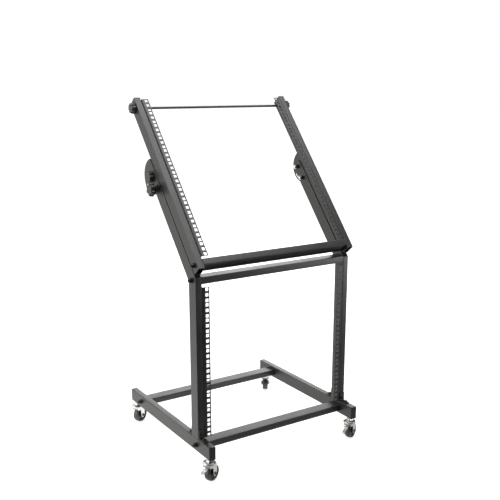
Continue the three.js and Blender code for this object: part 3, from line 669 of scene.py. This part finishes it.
folded = (
    ("SOLIDIFY", {"thickness": rail_steel, "offset": -1.0, "use_even_offset": True}),
    ("BEVEL", {"width": 0.00025, "segments": 2, "limit_method": "ANGLE", "angle_limit": math.radians(40)}),
)


def punched_rail(node, units, place):
    """A whole rail of so many units, with its foot's inner corner at a place."""
    mesh = grown(node, [((0, 0, 0), (0, 0, 1))], rail_tree, (
        (unit_in, rail_sheet), (count_in, units), (pitch_in, rail_unit)
    ), folded)
    piece = gathered(node + "_punched", [(mesh, place, 0)], [powder_black], sharp=30)
    work = bmesh.new()
    work.from_mesh(piece.data)
    bmesh.ops.recalc_face_normals(work, faces=work.faces)
    work.to_mesh(piece.data)
    work.free()
    standing_for(piece, node)


lower_corner = Vector(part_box("lower_rail_right")[0])
upper_corner = (lower_corner.x, -0.060, -0.3026)
for side, sign in sides.items():
    flip = Matrix.Diagonal((sign, 1, 1, 1))
    punched_rail(f"lower_rail_{side}", lower_units, flip @ Matrix.Translation(lower_corner))
    punched_rail(f"upper_rail_{side}", upper_units, along_arms @ flip @ Matrix.Translation(upper_corner))
bpy.data.objects.remove(rail_sheet)


# Tie rod: a plain coated rod across the tops of the arms. A fluted moulded knob is screwed on each end
# and draws the arm against it.
dressed("tie_rod", powder_black, round_off=0)
knob_black = moulded_finish("knob_black", (0.018, 0.018, 0.019), 0.34, 2600.0, 0.85)


def fluted(count, depth):
    """So many flutes round a grip, each cut in by a share of the radius."""
    return lambda turn: depth * (1 - math.cos(count * turn)) ** 1.3


def small_grip(name, radius, height):
    """A low round knob with eight flutes, standing on its flat foot."""
    profile = rounded([
        (0, 0, 0), (0, radius * 0.9, 1), (height * 0.16, radius, 1), (height * 0.9, radius * 0.9, 1),
        (height, radius * 0.86, 1), (height, radius * 0.5, 0.2), (height, 0, 0),
    ], 0.0009)
    return spun(name, profile, fluted(8, 0.075), steps=96)


small_knob_radius = 0.0165
small_knob_height = 0.0135
tie_knob_spin = 0.2
round_grip = small_grip("round_grip", small_knob_radius, small_knob_height)
for side, sign in sides.items():
    node = f"tie_knob_{side}"
    place = aimed(end_of(node, -sign), (sign, 0, 0), tie_knob_spin)
    knob = gathered(node + "_grip", [(round_grip, place, 0)], [knob_black], sharp=40)
    standing_for(knob, node)


# Quadrant plates: a disc of 2 mm sheet, cut straight where it is welded to its arm, with an arc slot. A
# small knob's stud is the pivot and a large lobed knob's stud clamps the slot. Each stud ends in a short
# black sleeve nut, with its own domed zinc end in front of it.
def plated_finish(name, bright, dark, rough):
    """Zinc plate: cloudy metal between two shades, with a fine grain."""
    material, plating = finish_bench(name)
    place = plating.add("ShaderNodeTexCoord", out="Object")
    cloud = plating.add("ShaderNodeTexNoise", Vector=place, Scale=130.0, Detail=3.0, Distortion=0.4)
    grain = plating.add("ShaderNodeTexNoise", Vector=place, Scale=1600.0, Detail=1.0)
    shade = plating.add("ShaderNodeMix", {"data_type": "RGBA"}, 2, i0=cloud, i6=(*bright, 1), i7=(*dark, 1))
    skin = plating.add("ShaderNodeBump", Strength=0.08, Distance=0.0001, Height=cloud + grain * 0.4)
    surface = plating.add(
        "ShaderNodeBsdfPrincipled", Base_Color=shade, Metallic=1.0, Roughness=rough + cloud * 0.14,
        Normal=skin
    )
    plating.add("ShaderNodeOutputMaterial", Surface=surface)
    return material


zinc_bright = plated_finish("zinc_plate", (0.90, 0.91, 0.88), (0.76, 0.78, 0.80), 0.2)
nut_bore = 0.0052
nut_length = 0.0056
nut_profile = rounded([
    (0, nut_bore, 0), (0, 0.0062, 0), (0.0030, 0.0061, 0), (nut_length, 0.0059, 0), (nut_length, nut_bore, 0),
    (0, nut_bore, 0),
], 0.0004)
sleeve_nut = spun("sleeve_nut", nut_profile)
stud_end_profile = rounded([
    (-0.0062, 0, 0), (-0.0062, 0.0060, 0), (-0.0052, 0.0068, 0), (-0.0024, 0.0068, 0), (0.0004, 0.0060, 0),
    (0.0022, 0.0042, 0), (0.0030, 0.0018, 0), (0.0031, 0, 0),
], 0.0012)
stud_end = spun("stud_end", stud_end_profile, steps=36)
stud_radius = 0.005
stud_foot = -0.0002
stud_tip = 0.0346
stud = spun("stud", rounded([
    (stud_foot, 0, 0), (stud_foot, stud_radius, 0), (stud_tip, stud_radius, 0), (stud_tip, 0, 0)
], 0.0004))
large_radius = 0.021
large_height = 0.025
neck = 0.4 * large_height
large_grip_profile = rounded([
    (0, 0, 0), (0, large_radius * 0.5, 0), (neck, large_radius * 0.44, 0), (neck, large_radius * 0.9, 1),
    (neck + 0.0035, large_radius, 1), (large_height - 0.0025, large_radius * 0.93, 1),
    (large_height, large_radius * 0.86, 1), (large_height, 0.0125, 0.3), (large_height, 0, 0),
], 0.0012)
large_grip = spun("large_grip", large_grip_profile, fluted(6, 0.115), steps=96)
grips = (("pivot", round_grip, 0.1), ("clamp", large_grip, 0.52))

bead_half = 0.045
bead_taper = 0.0005
bead_radius = 0.0012
bead_ripples = 15
bead_steps = 60
bead_profile = [(-bead_half, 0, 0), (bead_taper - bead_half, bead_radius * 0.5, 0)]
for step in range(bead_steps + 1):
    height = (bead_half - 2 * bead_taper) * (2 * step / bead_steps - 1)
    ripple = 0.85 + 0.15 * math.sin(bead_ripples * 2 * math.pi * step / bead_steps)
    bead_profile.append((height, bead_radius * ripple, 0))
bead_profile += [(bead_half - bead_taper, bead_radius * 0.5, 0), (bead_half, 0, 0)]
bead = spun("bead", bead_profile, steps=10)
seam_out = 0.2672
seam_forward = 0.0229

knob_gap = 0.0002
knob_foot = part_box("quadrant_plate_right")[1][0] + knob_gap
sheet_round_off = 0.0004
for side, sign in sides.items():
    dressed(f"quadrant_plate_{side}", powder_black, sheet_round_off)
    seam = along_arms @ Matrix.Translation((sign * seam_out, -seam_forward, 0))
    weld = gathered(f"plate_weld_{side}", [(bead, seam, 0)], [powder_black], sharp=60)
    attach(weld, "tilting_frame")
    out = (sign, 0, 0)
    back = (-sign, 0, 0)
    for kind, grip, spin in grips:
        knob_node = f"{kind}_knob_{side}"
        nut_node = f"{kind}_nut_{side}"
        axis = Vector(joints[knob_node + "_turn"]["pos_m"])
        foot = (sign * knob_foot, axis.y, axis.z)
        tip = (end_of(knob_node, -sign).x, axis.y, axis.z)
        seat = (end_of(nut_node, sign).x, axis.y, axis.z)
        knob = gathered(knob_node + "_and_stud", [
            (grip, aimed(foot, out, spin), 0), (stud, aimed(foot, back), 1), (stud_end, aimed(tip, back), 1)
        ], [knob_black, zinc_bright], sharp=40)
        standing_for(knob, knob_node)
        nut = gathered(nut_node + "_turned", [(sleeve_nut, aimed(seat, back), 0)], [plug_black], sharp=30)
        standing_for(nut, nut_node)


# Casters: a zinc-plated cup and stem screwed into the foot, a pressed fork that swivels under it, its front
# skirt in a darker zinc that is painted shade from the cup above, a black wheel with a tread a shade lighter
# than its core, and on the two front ones a brake pedal.
axle_dull = moulded_finish("axle_dull", (0.05, 0.05, 0.052), 0.4, 1500.0, 0.7)
# Painted shade: the fork's front skirt gets this darker zinc to stand for the shade that the cup casts on it.
zinc_painted_shade = plated_finish("zinc_painted_shade", (0.42, 0.40, 0.37), (0.28, 0.27, 0.25), 0.4)
wheel_core = moulded_finish("wheel_core_black", (0.013, 0.013, 0.013), 0.28, 900.0)
# The tread is a lighter grey than the core.
wheel_tread = moulded_finish("wheel_tread_lighter", (0.028, 0.028, 0.028), 0.34, 700.0, 0.9)
tread_profile = rounded([
    (-0.0080, 0.0190, 0), (-0.0090, 0.0205, 0), (-0.0090, 0.0232, 0), (-0.0050, 0.0248, 0), (0, 0.0250, 0),
    (0.0050, 0.0248, 0), (0.0090, 0.0232, 0), (0.0090, 0.0205, 0), (0.0080, 0.0190, 0), (-0.0080, 0.0190, 0),
], 0.0010)
core_profile = rounded([
    (-0.0115, 0.0038, 0), (-0.0115, 0.0080, 0), (-0.0100, 0.0085, 0), (-0.0055, 0.0092, 0),
    (-0.0053, 0.0160, 0), (-0.0078, 0.0178, 0), (-0.0084, 0.0200, 0), (0.0084, 0.0200, 0),
    (0.0078, 0.0178, 0), (0.0053, 0.0160, 0), (0.0055, 0.0092, 0), (0.0100, 0.0085, 0), (0.0115, 0.0080, 0),
    (0.0115, 0.0038, 0), (-0.0115, 0.0038, 0),
], 0.0008)
tread_mesh = spun("tread", tread_profile, steps=96)
core_mesh = spun("core", core_profile, steps=72)
stem_radius = 0.0050
stem_foot = 0.0515
stem_top = 0.0980
rivet_radius = 0.0075
rivet_top = 0.0537
cup_foot = 0.0563
cup_top = cup_foot + 0.0090
nut_radius = 0.0095
nut_top = 0.0737
stem_profile = rounded([
    (stem_foot, 0, 0), (stem_foot, 0.0066, 0), (0.0523, rivet_radius, 0), (rivet_top, rivet_radius, 0),
    (rivet_top, stem_radius, 0), (cup_foot, stem_radius, 0), (cup_foot, 0.0188, 0),
    (cup_foot + 0.0004, 0.0200, 0), (cup_foot + 0.0040, 0.0199, 0), (cup_foot + 0.0066, 0.0176, 0),
    (cup_foot + 0.0082, 0.0146, 0), (cup_top, 0.0118, 0), (cup_top, nut_radius, 1), (nut_top, nut_radius, 1),
    (nut_top, stem_radius, 0), (stem_top, stem_radius, 0), (stem_top, 0, 0),
], 0.0005)
stem_mesh = spun("stem", stem_profile, hexagon, steps=72)
fork_top = 0.056
fork_sheet = 0.002
wheel_trail = 0.011
axle_rise = 0.025
leg_inside = 0.0118


def pressed_leg(name, inside):
    """One leg of the fork with its side of the skirt, cut from sheet and standing at a place on Y."""
    eye_radius = 0.0076
    eye_steps = 12
    outline = [(-0.0120, fork_top), (-0.0120, 0.0480), (-0.0095, 0.0468), (-0.0010, 0.0462), (0.0018, 0.0430)]
    for step in range(eye_steps + 1):
        turn = math.pi * (1 + step / eye_steps)
        outline.append((wheel_trail + eye_radius * math.cos(turn), axle_rise + eye_radius * math.sin(turn)))
    outline += [(0.0188, 0.0500), (0.0176, 0.0535), (0.0160, fork_top)]
    work = bmesh.new()
    face = work.faces.new([work.verts.new((x, inside, z)) for x, z in outline])
    pushed = bmesh.ops.extrude_face_region(work, geom=[face])
    moved = [item for item in pushed["geom"] if isinstance(item, bmesh.types.BMVert)]
    bmesh.ops.translate(work, verts=moved, vec=(0, math.copysign(fork_sheet, inside), 0))
    bmesh.ops.recalc_face_normals(work, faces=work.faces)
    edges = [edge for edge in work.edges if abs(edge.verts[0].co.y - edge.verts[1].co.y) < seam_within]
    bmesh.ops.bevel(work, geom=edges, offset=0.0005, segments=2, affect="EDGES", profile=0.5)
    return meshed(work, name)


def bent_apron():
    """The skirt's front, bent down between the two legs with rounded folds."""
    half = leg_inside + fork_sheet - 0.0004
    apron_foot = 0.0475
    apron_top = fork_top - 0.0002
    outer = [(-0.0118, -half), (-0.0126, -half * 0.6), (-0.0128, 0), (-0.0126, half * 0.6), (-0.0118, half)]
    inner = [(x + fork_sheet, y) for x, y in reversed(outer)]
    work = bmesh.new()
    low = [work.verts.new((x, y, apron_foot)) for x, y in outer + inner]
    high = [work.verts.new((x, y, apron_top)) for x, y in outer + inner]
    work.faces.new(low[::-1])
    work.faces.new(high)
    for i in range(len(low)):
        j = (i + 1) % len(low)
        work.faces.new((low[i], low[j], high[j], high[i]))
    bmesh.ops.recalc_face_normals(work, faces=work.faces)
    bmesh.ops.bevel(work, geom=list(work.edges), offset=0.0003, segments=1, affect="EDGES", profile=0.5)
    return meshed(work, "fork_apron")


plate_foot = fork_top - fork_sheet
plate_top = fork_top + 0.0001
fork_plate = spun("fork_plate", rounded([
    (plate_foot, 0.0056, 0), (plate_foot, 0.0180, 0), (plate_top, 0.0180, 0), (plate_top, 0.0165, 0),
    (plate_top, 0.0056, 0), (plate_foot, 0.0056, 0),
], 0.0007), steps=72)
axle_half = leg_inside + fork_sheet
axle_end = axle_half + 0.0024
axle_profile = rounded([
    (-axle_end, 0, 0), (-axle_end, 0.0040, 0.4), (-axle_half - 0.0018, 0.0052, 1), (-axle_half, 0.0054, 1),
    (-axle_half, 0.0034, 0), (axle_half, 0.0034, 0), (axle_half, 0.0054, 1),
    (axle_half + 0.0018, 0.0052, 1), (axle_end, 0.0040, 0.4), (axle_end, 0, 0),
], 0.0003, 2)
axle_mesh = spun("axle", axle_profile, hexagon)
leg_meshes = [pressed_leg("fork_leg_one", leg_inside), pressed_leg("fork_leg_other", -leg_inside)]
apron_mesh = bent_apron()
across_fork = Matrix.Translation((wheel_trail, 0, axle_rise)) @ Matrix.Rotation(math.pi / 2, 4, "X")
for caster in ("front_left", "front_right", "rear_left", "rear_right"):
    stem_node, fork_node, wheel_node = (f"caster_{kind}_{caster}" for kind in ("stem", "fork", "wheel"))
    low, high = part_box(stem_node)
    swivel = Vector(((low[0] + high[0]) / 2, (low[1] + high[1]) / 2, 0))
    stem = gathered(stem_node + "_turned", [
        (stem_mesh, Matrix.Translation(swivel), 0)
    ], [zinc_bright], sharp=30)
    standing_for(stem, stem_node)
    roll = joints[f"roll_{caster}"]
    trail = Vector(roll["pos_m"]) - swivel
    turned = Matrix.Translation(swivel) @ Matrix.Rotation(math.atan2(trail.y, trail.x), 4, "Z")
    # Material 2, the darker zinc of the skirt, is painted shade.
    fork = gathered(fork_node + "_pressed", [
        (leg_meshes[0], turned, 0), (leg_meshes[1], turned, 0), (apron_mesh, turned, 2),
        (fork_plate, turned, 0), (axle_mesh, turned @ across_fork, 1)
    ], [zinc_bright, axle_dull, zinc_painted_shade])
    standing_for(fork, fork_node)
    stand = aimed(roll["pos_m"], roll["axis"])
    wheel = gathered(wheel_node + "_moulded", [
        (core_mesh, stand, 0), (tread_mesh, stand, 1)
    ], [wheel_core, wheel_tread], sharp=30)
    standing_for(wheel, wheel_node)
for caster in ("front_left", "front_right"):
    dressed(f"brake_pedal_{caster}", zinc_bright, sheet_round_off, sharp=40)
